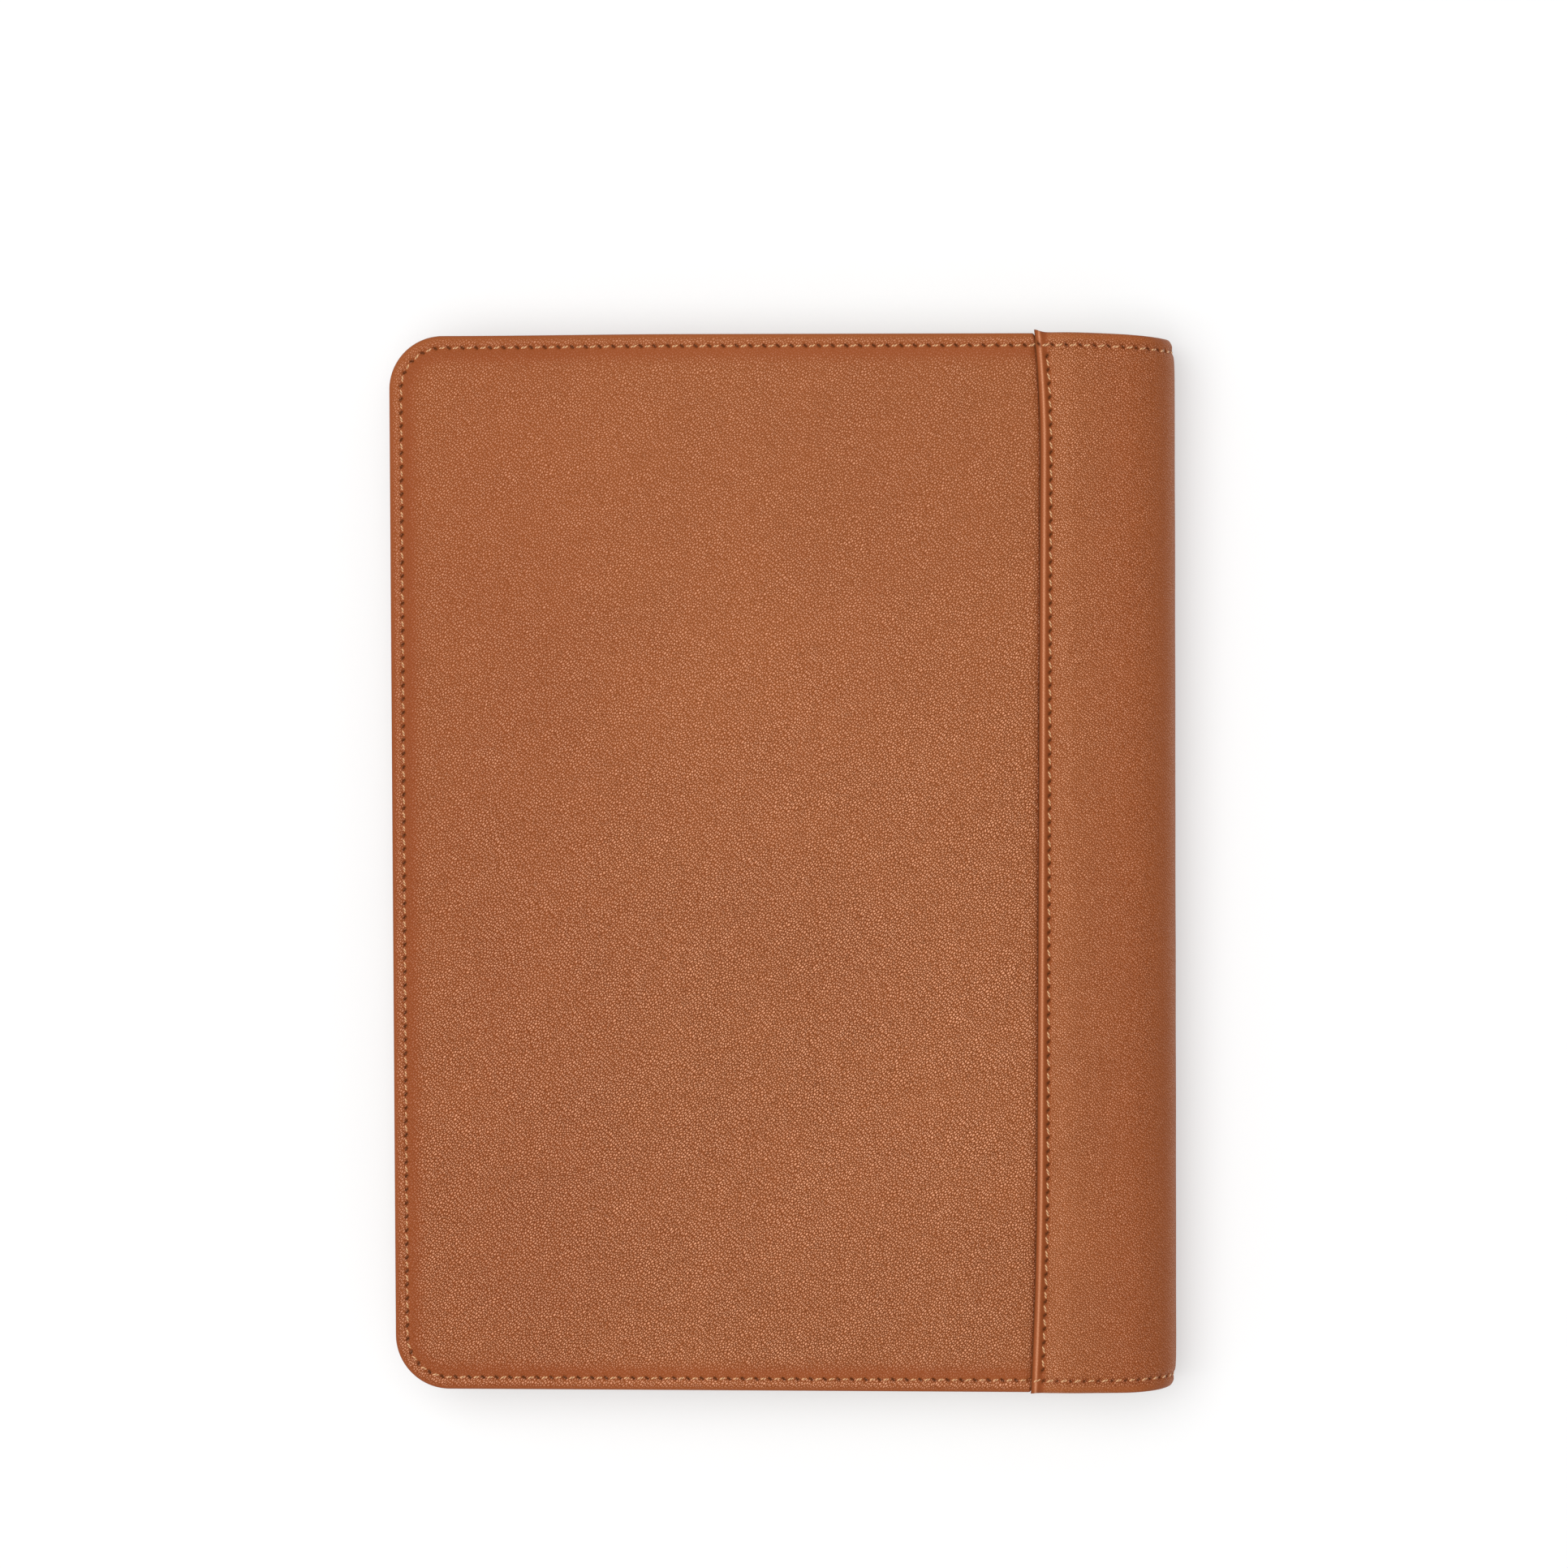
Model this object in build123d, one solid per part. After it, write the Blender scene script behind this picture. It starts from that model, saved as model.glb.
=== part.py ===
from build123d import *
import math

# A padded leather cover for an A5 notebook refill, closed and lying on its front cover.
# +X points to the spine, +Y to the head and +Z up. The origin is on the resting plane, under
# the middle of the closed cover. The two covers are mirror images about the middle of the
# closed thickness, apart from their pockets. All sizes are in millimetres.

# ---- The whole cover ----
COVER_WIDTH = 166.5          # fore edge to the outermost line of the spine
COVER_HEIGHT = 225.0         # tail to head
CLOSED_THICKNESS = 22.5      # outer face to outer face
CORNER_RADIUS = 11.5         # corners at the fore edge

# ---- Layers of a cover, from the outside in ----
LEATHER = 1.0
FOAM = 0.6
BOARD = 1.4
LINING = 0.6
TURN_IN = 0.5                # pared leather turned over the board
TURN_IN_WIDTH = 10.0
LINING_INSET = 0.8           # lining back from the turned edges

# ---- Spine leather ----
FLAP_NOSE_X = 53.5           # rounded fold that overlaps the cover's panel
PANEL_END_X = 53.2           # the visible panel stops here
TONGUE_START_X = 51.8        # the pared edge of the panel runs on under the flap
TONGUE_END_X = 64.0
BOARD_END_X = 66.0           # the boards stop short of the rounded spine
FOAM_END_X = 51.6
NOSE_RADIUS = 0.9
REINFORCEMENT = 0.4
FOLD_ANGLE = 45.0            # the two fold lines, up and down from the spine's middle
FOLD_GAP_ANGLE = 1.0         # clearance each side of a fold line

# ---- Stitching ----
STITCH_INSET = 2.6           # edge to the middle of the stitch line
SEAM_STITCH_X = 56.6
THREAD_WIDTH = 0.7
THREAD_DEPTH = 0.5
THREAD_RECESS = 0.1          # the thread lies this far below the leather's face
POCKET_THREAD_WIDTH = 0.6
POCKET_THREAD_DEPTH = 0.3

# ---- Pockets inside the front cover ----
SLIP_POCKET = 0.6
SLIP_POCKET_MOUTH_X = 20.0
CARD_SLOT = 0.5
CARD_SLOT_LEFT = -76.0
CARD_SLOT_RIGHT = 18.0
CARD_SLOT_BOTTOM = -38.0
CARD_SLOT_MOUTHS = {"card_slot_upper": 52.0, "card_slot_middle": 37.0, "card_slot_lower": 22.0}
CARD_SLOT_SEAM = 2.0

# ---- Pocket inside the back cover ----
REFILL_POCKET = 0.6
REFILL_POCKET_MOUTH_X = -5.0
REFILL_POCKET_SEAM = 7.2     # width of the stitched rim round the refill's back card

# ---- A5 refill ----
REFILL_SPINE_X = 75.2
CARD_WIDTH = 148.0
CARD_HEIGHT = 210.0
PAGE_WIDTH = 147.0
PAGE_HEIGHT = 209.0
PAGE_CORNER = 3.0
FRONT_CARD = 0.6
BACK_CARD = 0.8
LEAF = 0.35
LEAF_COUNT = 3
LEAF_GAP = 0.05
POCKET_CLEARANCE = 0.3       # the front card stands this far off the card slots
SPINE_TAPE = 0.4

# ---- Worked out from the above ----
HALF_WIDTH = COVER_WIDTH / 2
HALF_HEIGHT = COVER_HEIGHT / 2
SPINE_RADIUS = CLOSED_THICKNESS / 2
SPINE_X = HALF_WIDTH - SPINE_RADIUS
SPINE_Z = SPINE_RADIUS
FOAM_Z = LEATHER
BOARD_Z = FOAM_Z + FOAM
LINING_Z = BOARD_Z + BOARD
COVER_THICKNESS = LINING_Z + LINING
LEATHER_INNER_R = SPINE_RADIUS - LEATHER
LINING_OUTER_R = LEATHER_INNER_R - REINFORCEMENT
LINING_INNER_R = LINING_OUTER_R - LINING
GROOVE_DEPTH = THREAD_DEPTH + THREAD_RECESS
STITCH_OUTER = STITCH_INSET - THREAD_WIDTH / 2
STITCH_INNER = STITCH_INSET + THREAD_WIDTH / 2
COVER_ARC = (-90.0, -FOLD_ANGLE - FOLD_GAP_ANGLE)
SPINE_ARC = (-FOLD_ANGLE + FOLD_GAP_ANGLE, FOLD_ANGLE - FOLD_GAP_ANGLE)
MIDDLE_PLANE = Plane.XY.offset(CLOSED_THICKNESS / 2)


# ---- Shapes ----
def plan(inset, right):
    """A cover seen flat: rounded fore corners, cut straight at x = right."""
    left = inset - HALF_WIDTH
    height = 2 * (HALF_HEIGHT - inset)
    radius = CORNER_RADIUS - inset
    spare = 2 * radius
    rounded = Pos((left + right + spare) / 2, 0) * RectangleRounded(right - left + spare, height, radius)
    kept = Pos((left + right) / 2, 0) * Rectangle(right - left, height)
    return rounded & kept


def slab(inset, right, low, high):
    """A sheet with the cover's outline, between two heights."""
    return extrude(Pos(0, 0, low) * plan(inset, right), amount=high - low)


def rim(outer_inset, inner_inset, right, low, high):
    """A band along the fore, head and tail edges, open towards the spine."""
    band = plan(outer_inset, right) - plan(inner_inset, right)
    return extrude(Pos(0, 0, low) * band, amount=high - low)


def block(x_span, y_span, z_span):
    """A box between two corners."""
    size = [high - low for low, high in (x_span, y_span, z_span)]
    middle = [(high + low) / 2 for low, high in (x_span, y_span, z_span)]
    return Pos(*middle) * Box(*size)


def section(points, y_low, y_high):
    """A straight-sided section in X and Z, drawn out along Y."""
    face = Plane.XZ * Polygon(*points, align=None)
    return extrude(Pos(0, y_low, 0) * face, amount=y_high - y_low, dir=(0, 1, 0))


def spine_band(inner, outer, arc, y_low, y_high):
    """Part of the rounded spine between two radii and two angles, drawn out along Y."""

    def at(radius, angle):
        turn = math.radians(angle)
        return (SPINE_X + radius * math.cos(turn), SPINE_Z + radius * math.sin(turn))

    start, end = arc
    middle = (start + end) / 2
    edges = Curve() + [
        ThreePointArc(at(outer, start), at(outer, middle), at(outer, end)),
        Line(at(outer, end), at(inner, end)),
        ThreePointArc(at(inner, end), at(inner, middle), at(inner, start)),
        Line(at(inner, start), at(outer, start)),
    ]
    face = Plane.XZ * make_face(edges)
    return extrude(Pos(0, y_low, 0) * face, amount=y_high - y_low, dir=(0, 1, 0))


def both_ends(make, y_low, y_high):
    """The same band at the head and at the tail."""
    return make(y_low, y_high) + make(-y_high, -y_low)


def refill_sheet(width, height, low, high):
    """A card, a leaf or the page block: rounded corners at the fore edge."""
    left = REFILL_SPINE_X - width
    sheet = block((left, REFILL_SPINE_X), (-height / 2, height / 2), (low, high))
    return fillet(sheet.edges().filter_by(Axis.Z).group_by(Axis.X)[0], PAGE_CORNER)


def save(part, node):
    """Write one piece in its own file."""
    export_step(part, f"parts/{node}.step")


# ---- Stitch lines on the outer face ----
def edge_thread_bed(extra):
    """Room for the edge thread. extra = 0 is the thread itself, else the groove reaches the face."""
    low = THREAD_RECESS - extra
    outer_r = SPINE_RADIUS - low
    inner_r = SPINE_RADIUS - GROOVE_DEPTH
    bed = rim(STITCH_OUTER, STITCH_INNER, SPINE_X, low, GROOVE_DEPTH)
    return bed + both_ends(
        lambda a, b: spine_band(inner_r, outer_r, COVER_ARC, a, b),
        HALF_HEIGHT - STITCH_INNER,
        HALF_HEIGHT - STITCH_OUTER,
    )


def seam_thread_bed(extra):
    """Room for the straight seam thread beside the fold of the spine leather."""
    reach = HALF_HEIGHT - STITCH_INNER - THREAD_RECESS
    x_span = (SEAM_STITCH_X - THREAD_WIDTH / 2, SEAM_STITCH_X + THREAD_WIDTH / 2)
    return block(x_span, (-reach, reach), (THREAD_RECESS - extra, GROOVE_DEPTH))


def spine_thread_bed(extra, end):
    """Room for the thread round the spine at the head (end = 1) or the tail (end = -1)."""
    y_ends = sorted((end * (HALF_HEIGHT - STITCH_INNER), end * (HALF_HEIGHT - STITCH_OUTER)))
    outer_r = SPINE_RADIUS - THREAD_RECESS + extra
    return spine_band(SPINE_RADIUS - GROOVE_DEPTH, outer_r, SPINE_ARC, *y_ends)


# ---- Pieces of a cover, made for the front cover ----
def leather_panel():
    """Outer leather, turned round the fore, head and tail edges and over the board."""
    panel = slab(0, PANEL_END_X, 0, LEATHER)
    panel += rim(0, LEATHER, PANEL_END_X, LEATHER, LINING_Z)
    panel += rim(LEATHER, TURN_IN_WIDTH, PANEL_END_X, LINING_Z - TURN_IN, LINING_Z)
    reach = HALF_HEIGHT - LEATHER
    panel += block((TONGUE_START_X, TONGUE_END_X), (-reach, reach), (LEATHER, BOARD_Z))
    return panel - edge_thread_bed(LEATHER)


def foam_padding():
    """Thin padding between the leather and the board."""
    return slab(LEATHER, FOAM_END_X, FOAM_Z, BOARD_Z)


def board():
    """Stiff board, with a shallow step that takes the turned-in leather."""
    return slab(LEATHER, BOARD_END_X, BOARD_Z, LINING_Z) - rim(
        LEATHER, TURN_IN_WIDTH, PANEL_END_X, LINING_Z - TURN_IN, LINING_Z
    )


def lining():
    """Inner lining, down off the board's end and round to the fold line."""
    reach = HALF_HEIGHT - LINING_INSET
    foot = SPINE_Z - LINING_OUTER_R
    ramp = [
        (BOARD_END_X, LINING_Z),
        (SPINE_X, foot),
        (SPINE_X, foot + LINING),
        (BOARD_END_X, COVER_THICKNESS),
    ]
    sheet = slab(LINING_INSET, BOARD_END_X, LINING_Z, COVER_THICKNESS)
    sheet += section(ramp, -reach, reach)
    return sheet + spine_band(LINING_INNER_R, LINING_OUTER_R, COVER_ARC, -reach, reach)


def spine_flap():
    """The spine leather's flap on a cover: its turned nose, its seam and its turned ends."""
    flap = block((FLAP_NOSE_X, SPINE_X), (-HALF_HEIGHT, HALF_HEIGHT), (0, LEATHER))
    nose = flap.edges().filter_by(Axis.Y).group_by(Axis.X)[0].sort_by(Axis.Z)[0]
    flap = fillet(nose, NOSE_RADIUS)
    flap += spine_band(LEATHER_INNER_R, SPINE_RADIUS, COVER_ARC, -HALF_HEIGHT, HALF_HEIGHT)
    wall = [
        (FLAP_NOSE_X, LEATHER),
        (SPINE_X, LEATHER),
        (SPINE_X, LEATHER + REINFORCEMENT),
        (BOARD_END_X, LINING_Z),
        (FLAP_NOSE_X, LINING_Z),
    ]
    ends = (HALF_HEIGHT - LEATHER, HALF_HEIGHT)
    flap += both_ends(lambda a, b: section(wall, a, b), *ends)
    flap += both_ends(lambda a, b: spine_band(LINING_OUTER_R, LEATHER_INNER_R, COVER_ARC, a, b), *ends)
    return flap - edge_thread_bed(LEATHER) - seam_thread_bed(LEATHER)


COVER_PIECES = {
    "leather_panel": leather_panel(),
    "foam_padding": foam_padding(),
    "board": board(),
    "lining": lining(),
    "spine_flap": spine_flap(),
    "edge_thread": edge_thread_bed(0),
    "seam_thread": seam_thread_bed(0),
}
for name, piece in COVER_PIECES.items():
    save(piece, f"front_{name}")
    save(mirror(piece, about=MIDDLE_PLANE), f"back_{name}")


# ---- Spine, between the two fold lines ----
spine_ends = (HALF_HEIGHT - LEATHER, HALF_HEIGHT)
spine_leather = spine_band(LEATHER_INNER_R, SPINE_RADIUS, SPINE_ARC, -HALF_HEIGHT, HALF_HEIGHT)
spine_leather += both_ends(
    lambda a, b: spine_band(LINING_OUTER_R, LEATHER_INNER_R, SPINE_ARC, a, b), *spine_ends
)
for end, node in ((1, "spine_head_thread"), (-1, "spine_tail_thread")):
    spine_leather -= spine_thread_bed(LEATHER, end)
    save(spine_thread_bed(0, end), node)
save(spine_leather, "spine_leather")

stiffener_reach = HALF_HEIGHT - LEATHER
save(
    spine_band(LINING_OUTER_R, LEATHER_INNER_R, SPINE_ARC, -stiffener_reach, stiffener_reach),
    "spine_reinforcement",
)
lining_reach = HALF_HEIGHT - LINING_INSET
save(
    spine_band(LINING_INNER_R, LINING_OUTER_R, SPINE_ARC, -lining_reach, lining_reach),
    "spine_lining",
)


# ---- Pockets inside the front cover ----
slip_top = COVER_THICKNESS + SLIP_POCKET
save(slab(LINING_INSET, SLIP_POCKET_MOUTH_X, COVER_THICKNESS, slip_top), "front_slip_pocket")


def slot_thread(strip_top, low, high):
    """The stitch line down both sides of a card slot, from one height on the page to another."""
    z_span = (strip_top - POCKET_THREAD_DEPTH, strip_top)
    lines = []
    for middle in (CARD_SLOT_LEFT + CARD_SLOT_SEAM, CARD_SLOT_RIGHT - CARD_SLOT_SEAM):
        x_span = (middle - POCKET_THREAD_WIDTH / 2, middle + POCKET_THREAD_WIDTH / 2)
        lines.append(block(x_span, (low, high), z_span))
    return lines


pocket_threads = []
mouths = list(CARD_SLOT_MOUTHS.items())
for place, (node, mouth) in enumerate(mouths):
    strip_top = slip_top + CARD_SLOT * (place + 1)
    strip = block(
        (CARD_SLOT_LEFT, CARD_SLOT_RIGHT), (CARD_SLOT_BOTTOM, mouth), (strip_top - CARD_SLOT, strip_top)
    )
    is_front_strip = place == len(mouths) - 1
    covered_to = CARD_SLOT_BOTTOM + CARD_SLOT_SEAM if is_front_strip else mouths[place + 1][1]
    threads = slot_thread(strip_top, covered_to, mouth)
    if is_front_strip:
        foot_seam = block(
            (
                CARD_SLOT_LEFT + CARD_SLOT_SEAM - POCKET_THREAD_WIDTH / 2,
                CARD_SLOT_RIGHT - CARD_SLOT_SEAM + POCKET_THREAD_WIDTH / 2,
            ),
            (covered_to - POCKET_THREAD_WIDTH, covered_to),
            (strip_top - POCKET_THREAD_DEPTH, strip_top),
        )
        threads = [threads[0] + foot_seam + threads[1]]
    for thread in threads:
        strip -= thread
    pocket_threads += threads
    save(strip, node)
save(Compound(children=pocket_threads), "pocket_thread")


# ---- Pocket inside the back cover, holding the refill's back card ----
back_face = CLOSED_THICKNESS - COVER_THICKNESS
pocket_low = back_face - BACK_CARD - REFILL_POCKET
pocket_high = back_face - BACK_CARD
thread_low = pocket_low
thread_high = pocket_low + POCKET_THREAD_DEPTH
refill_pocket = slab(LINING_INSET, REFILL_POCKET_MOUTH_X, pocket_low, pocket_high)
refill_pocket += rim(LINING_INSET, REFILL_POCKET_SEAM, REFILL_POCKET_MOUTH_X, pocket_high, back_face)
refill_pocket_thread = rim(
    STITCH_INSET - POCKET_THREAD_WIDTH / 2,
    STITCH_INSET + POCKET_THREAD_WIDTH / 2,
    REFILL_POCKET_MOUTH_X,
    thread_low,
    thread_high,
)
save(refill_pocket - refill_pocket_thread, "refill_pocket")
save(refill_pocket_thread, "refill_pocket_thread")


# ---- A5 refill ----
front_card_low = slip_top + CARD_SLOT * len(mouths) + POCKET_CLEARANCE
front_card_high = front_card_low + FRONT_CARD
save(refill_sheet(CARD_WIDTH, CARD_HEIGHT, front_card_low, front_card_high), "refill_front_cover")

leaf_low = front_card_high + LEAF_GAP
for leaf_number in range(1, LEAF_COUNT + 1):
    save(refill_sheet(PAGE_WIDTH, PAGE_HEIGHT, leaf_low, leaf_low + LEAF), f"leaf_{leaf_number}")
    leaf_low += LEAF + LEAF_GAP

block_low = leaf_low
save(refill_sheet(PAGE_WIDTH, PAGE_HEIGHT, block_low, pocket_low), "page_block")
save(refill_sheet(CARD_WIDTH, CARD_HEIGHT, pocket_high, back_face), "refill_back_cover")
save(
    block(
        (REFILL_SPINE_X, REFILL_SPINE_X + SPINE_TAPE),
        (-CARD_HEIGHT / 2, CARD_HEIGHT / 2),
        (block_low, back_face),
    ),
    "refill_spine_tape",
)
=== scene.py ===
import math

import bpy
import numpy as np
from mathutils import Matrix, Vector
from mathutils.geometry import delaunay_2d_cdt


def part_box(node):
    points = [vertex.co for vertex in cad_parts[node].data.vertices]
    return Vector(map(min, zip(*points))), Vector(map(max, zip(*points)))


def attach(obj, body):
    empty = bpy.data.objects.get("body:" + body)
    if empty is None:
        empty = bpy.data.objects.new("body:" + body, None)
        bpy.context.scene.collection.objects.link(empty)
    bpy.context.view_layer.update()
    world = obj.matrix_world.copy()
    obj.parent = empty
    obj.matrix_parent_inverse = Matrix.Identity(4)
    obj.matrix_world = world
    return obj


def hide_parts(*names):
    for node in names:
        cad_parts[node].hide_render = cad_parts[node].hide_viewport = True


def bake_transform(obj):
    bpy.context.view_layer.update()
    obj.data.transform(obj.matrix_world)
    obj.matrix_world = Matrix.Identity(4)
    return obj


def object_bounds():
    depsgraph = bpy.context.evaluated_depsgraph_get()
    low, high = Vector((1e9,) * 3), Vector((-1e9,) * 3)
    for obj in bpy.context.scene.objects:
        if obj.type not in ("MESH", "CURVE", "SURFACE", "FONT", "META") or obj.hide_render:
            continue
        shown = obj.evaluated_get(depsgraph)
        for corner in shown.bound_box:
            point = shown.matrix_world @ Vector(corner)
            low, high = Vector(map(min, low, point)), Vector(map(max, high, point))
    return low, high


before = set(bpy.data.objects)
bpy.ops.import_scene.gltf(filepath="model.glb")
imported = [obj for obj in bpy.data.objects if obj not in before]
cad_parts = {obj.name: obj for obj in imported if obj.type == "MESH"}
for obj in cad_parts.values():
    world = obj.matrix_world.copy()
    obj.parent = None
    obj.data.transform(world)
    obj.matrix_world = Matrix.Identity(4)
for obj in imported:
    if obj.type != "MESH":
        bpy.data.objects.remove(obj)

# The cover is drawn first as a flat pattern: u runs from the fore edge across the cover and on
# round the spine, v from tail to head, and drop is the depth below the outer face. wrap() folds
# that pattern into place, so leather, lining and stitches all follow the same bend.

MM = 0.001
cad_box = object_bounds()

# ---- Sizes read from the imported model, in metres ----
THICKNESS = cad_box[1].z
HALF_W = cad_box[1].x
HALF_H = cad_box[1].y
SPINE_R = THICKNESS / 2
SPINE_X = HALF_W - SPINE_R
SPINE_Z = SPINE_R
U_MID = SPINE_X + SPINE_R * math.pi / 2
LINING_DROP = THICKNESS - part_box("back_board")[0].z
LINING_DROP_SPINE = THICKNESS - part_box("back_lining")[1].z
COVER_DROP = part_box("front_slip_pocket")[0].z
LINING = COVER_DROP - LINING_DROP
BOARD_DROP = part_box("front_board")[0].z
BOARD_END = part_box("front_board")[1].x
CORNER_R = 11.5 * MM

# ---- Leather, stitching and folds ----
STITCH_INSET = 2.6 * MM
STITCH_COUNT = 95                     # along half of the edge, fore edge to mid-spine
SEAM_X = 54.15 * MM                   # where the spine leather's fold meets the panel
SEAM_STITCH = 2.35 * MM               # from the fold to its stitch line
ROLL = 1.5 * MM                       # width of the rolled edge
ROLL_TOP = 0.86 * MM                  # depth at which a panel's face meets its roll
PANEL_LEATHER = 0.65 * MM
FRONT_SHIFT = 0.4                     # the front panel is cut from another part of the hide,
SPINE_SHIFT = 0.31                    # and the spine leather from a third
BAND = 5.5 * MM                       # finely meshed band along the edges
PANEL_END = 58 * MM                   # how far a panel reaches, under the spine leather
PANEL_BACK = 1.57 * MM                # depth of a panel's inner face
STIFFENER = (1.14 * MM, 1.38 * MM)    # depths of its two faces
POCKET_LEATHER = 0.6 * MM
SLOT_SINK = 0.06 * MM                 # a card slot's face lies this much below its full height
LEAN = 0.0055                         # the cover is a little out of square, to the left at the head
THREAD = 0.245 * MM                   # radius
INNER_THREAD = 0.25 * MM
THREAD_SLANT = math.radians(15)
HOLE_SLANT = math.radians(37)

FORE_RUN = HALF_H - CORNER_R
CORNER_RUN = (CORNER_R - STITCH_INSET) * math.pi / 2
HALF_PATH = FORE_RUN + CORNER_RUN + U_MID - (CORNER_R - HALF_W)
PITCH = HALF_PATH / STITCH_COUNT
SEAM_STITCHES = 37                    # along half of the fold
SHEET = 0.09 * MM                     # thickness of a loose sheet of paper
SHEET_STEP = 0.12 * MM                # from one loose sheet to the next
SLOT_PITCH = 2.6 * MM
SLOT_INSET = 2 * MM                   # from a card slot's sides and foot to its stitches


# ---- Numbers ----
def ease(t):
    """Smooth step from 0 to 1."""
    t = np.clip(t, 0, 1)
    return t * t * (3 - 2 * t)


def bell(distance, width):
    """1 where distance is 0, falling away over width."""
    return np.exp(-((distance / width) ** 2))


def table(x, places, values):
    """A profile through a few points, in millimetres, at x in metres."""
    return np.interp(x, np.array(places) * MM, np.array(values) * MM)


def ripple(u, v, scale, seed):
    """Gentle unevenness from -1 to 1, about scale metres from crest to crest."""
    total = 0
    for k in range(5):
        turn = seed * 1.7 + k * 1.31
        waves = 2 * math.pi / (scale * (0.7 + 0.23 * k))
        across = u * math.cos(turn) + v * math.sin(turn)
        total = total + np.sin(across * waves + seed * 2.3 + k * 1.9)
    return total / 3.2


# ---- The flat pattern and its fold ----
def seam_line(v):
    """The fold's place across the cover: nearly straight, drawn back at head and tail."""
    slope = 0.0035 + LEAN
    at_head = 1.38 * MM * np.clip((v - 86 * MM) / (26.5 * MM), 0, 1.2) ** 2
    at_tail = 1.1 * MM * np.clip((-v - 62 * MM) / (50.5 * MM), 0, 1.2) ** 2
    return SEAM_X + slope * v - at_head - at_tail


def wrap(u, v, drop, side):
    """Folds the pattern: side 1 is the back cover, on top, and -1 the front cover, below."""
    u, v, drop = np.broadcast_arrays(u, v, drop)
    from_edge = HALF_H - np.abs(v)
    # head and tail are drawn in toward the spine, and the head at the fore edge too
    pull = np.where(v > 0, 1.25, 0.65) * MM * ease((u - 60 * MM) / (28 * MM))
    pull = pull + np.where(v > 0, 0.3, 0.0) * MM * ease((-20 * MM - u) / (50 * MM))
    v = v - np.sign(v) * pull * ease((np.abs(v) - 85 * MM) / (27.5 * MM))
    # the ends of the spine sink
    drop = drop + 0.9 * MM * np.exp(-from_edge / (2.2 * MM)) * ease((u - 74 * MM) / (12 * MM))
    angle = math.pi / 2 - np.clip(u - SPINE_X, 0, None) / SPINE_R
    x = np.where(u < SPINE_X, u, SPINE_X + (SPINE_R - drop) * np.cos(angle))
    # the outline leans, less at the spine, and is a little fuller at both sides
    spine_side = ease((u - 60 * MM) / (20 * MM))
    lean = LEAN * v * (1 - 0.45 * spine_side)
    x = x - lean + 0.25 * MM * spine_side - 0.3 * MM * ease(-u / (80 * MM))
    z = np.where(u < SPINE_X, THICKNESS - drop, SPINE_Z + (SPINE_R - drop) * np.sin(angle))
    if side < 0:
        z = THICKNESS - z
    return np.stack([x, v, z], axis=-1)


def edge_place(s, inset):
    """Pattern place at distance s along the edge, from the middle of the fore edge, + to the head."""
    run, inset = np.broadcast_arrays(np.abs(s), inset)
    turn = np.clip((run - FORE_RUN) / (CORNER_R - STITCH_INSET), 0, math.pi / 2)
    radius = CORNER_R - inset
    beyond = np.clip(run - FORE_RUN - CORNER_RUN, 0, None)
    u = -HALF_W + CORNER_R - radius * np.cos(turn) + beyond
    v = np.minimum(run, FORE_RUN) + radius * np.sin(turn)
    return u, v * np.where(np.asarray(s) < 0, -1.0, 1.0)


def edge_inset(u, v):
    """Distance in from the fore, head and tail edges, round the corners."""
    dx, dy = u + HALF_W, HALF_H - np.abs(v)
    corner = CORNER_R - np.hypot(np.maximum(CORNER_R - dx, 0), np.maximum(CORNER_R - dy, 0))
    return np.where((dx < CORNER_R) & (dy < CORNER_R), corner, np.minimum(dx, dy))


def stitch_marks(s, across, pitch):
    """(depth, darkness) that a row of stitches presses into leather; the darkness is painted shade in the
    holes and along the groove.
    """
    along = s - np.round(s / pitch) * pitch
    a = along * math.cos(HOLE_SLANT) + across * math.sin(HOLE_SLANT)
    b = -along * math.sin(HOLE_SLANT) + across * math.cos(HOLE_SLANT)
    hole = np.exp(-((a / (0.55 * MM)) ** 4) - (b / (0.25 * MM)) ** 2)
    groove = bell(across, 0.5 * MM)
    pucker = bell(across, 1.5 * MM) * np.cos(2 * math.pi * along / pitch)
    # painted shade along the stitch groove
    groove_shade = 0.05 * bell(across, 0.7 * MM)
    return (0.34 * hole + 0.12 * groove + 0.04 * pucker) * MM, np.clip(hole * 1.15 + groove_shade, 0, 1)


def panel_grain(u, v, inset):
    """How strong the pebbles are: fainter to the head's fore corner, at the stitches and the rim."""
    hide = 0.66 + 0.34 * ease((75 * MM - v + 0.35 * (u + HALF_W)) / (150 * MM))
    pulled = 1 - 0.62 * bell(inset - 3.2 * MM, 2.2 * MM) * (inset > STITCH_INSET)
    rim = 0.1 + 0.75 * ease((inset - 0.2 * MM) / MM)
    return hide * pulled * np.where(inset > STITCH_INSET, 1, rim)


# ---- Meshes ----
def add_mesh(name, points, faces, material, marks):
    """A new piece. marks holds its point attributes, such as skin (pattern place) and grain."""
    mesh = bpy.data.meshes.new(name)
    mesh.from_pydata(np.asarray(points).reshape(-1, 3).tolist(), [], faces)
    for key, values in marks.items():
        values = np.asarray(values, np.float32)
        kind, field = ("FLOAT_VECTOR", "vector") if values.ndim == 2 else ("FLOAT", "value")
        mesh.attributes.new(key, kind, "POINT").data.foreach_set(field, values.ravel())
    mesh.polygons.foreach_set("use_smooth", [True] * len(mesh.polygons))
    mesh.materials.append(material)
    mesh.update()
    piece = bpy.data.objects.new(name, mesh)
    bpy.context.scene.collection.objects.link(piece)
    return piece


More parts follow.
